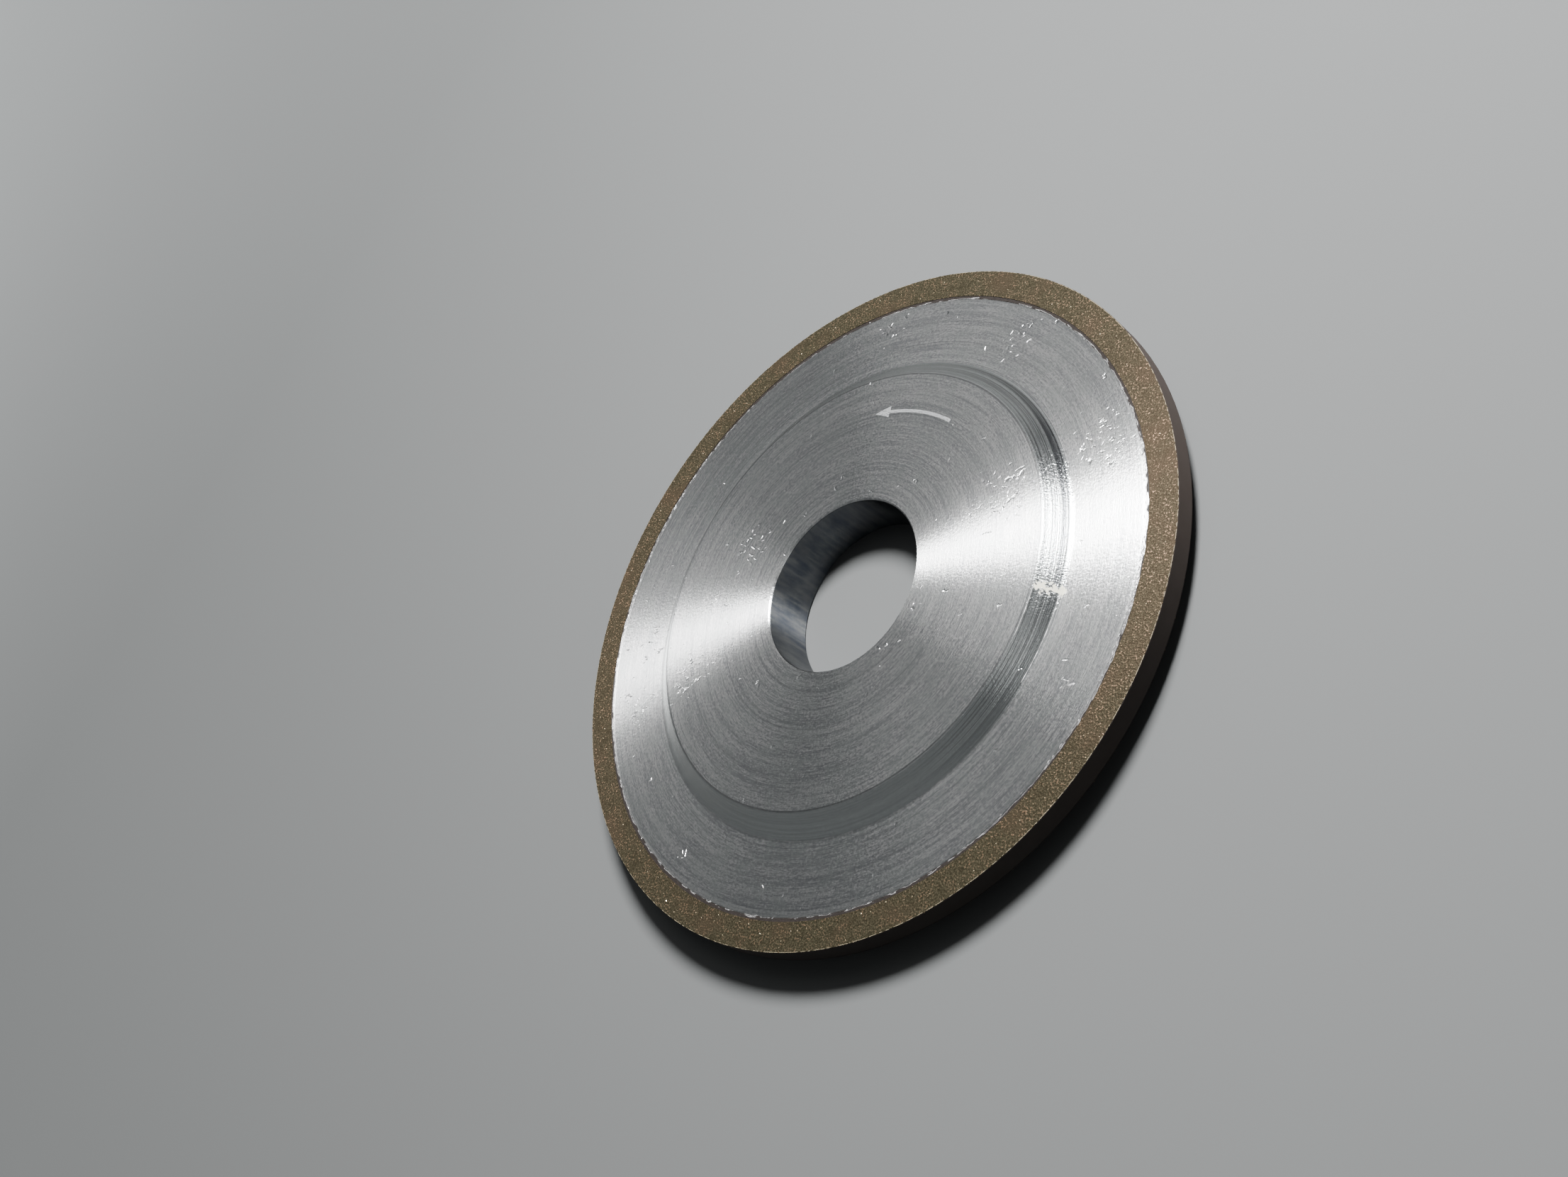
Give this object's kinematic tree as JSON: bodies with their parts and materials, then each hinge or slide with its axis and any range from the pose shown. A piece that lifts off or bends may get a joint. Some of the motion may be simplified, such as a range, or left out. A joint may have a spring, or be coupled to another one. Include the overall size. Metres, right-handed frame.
{
  "type": "diamond grinding wheel",
  "caption": "Flat diamond grinding wheel: a turned aluminium body with a raised, bored hub, a dark transition layer and a bronze-brown diamond rim.",
  "frame": {"origin": "centre of the bore at the back hub face, which is the lowest face when the wheel lies flat", "axes": "+Z along the bore axis, from the back hub face towards the front hub face; the wheel is round about Z, so X and Y are free"},
  "size_m": [0.125, 0.125, 0.01],
  "materials": {
    "body_aluminium": "satin",
    "transition_bond": "matte",
    "bonded_abrasive": "matte",
    "diamond": "gloss"
  },
  "bodies": {
    "root": {"wheel_body": "body_aluminium", "transition_ring": "transition_bond", "abrasive_ring": "bonded_abrasive", "diamond_grains": "diamond"}
  },
  "joints": []
}
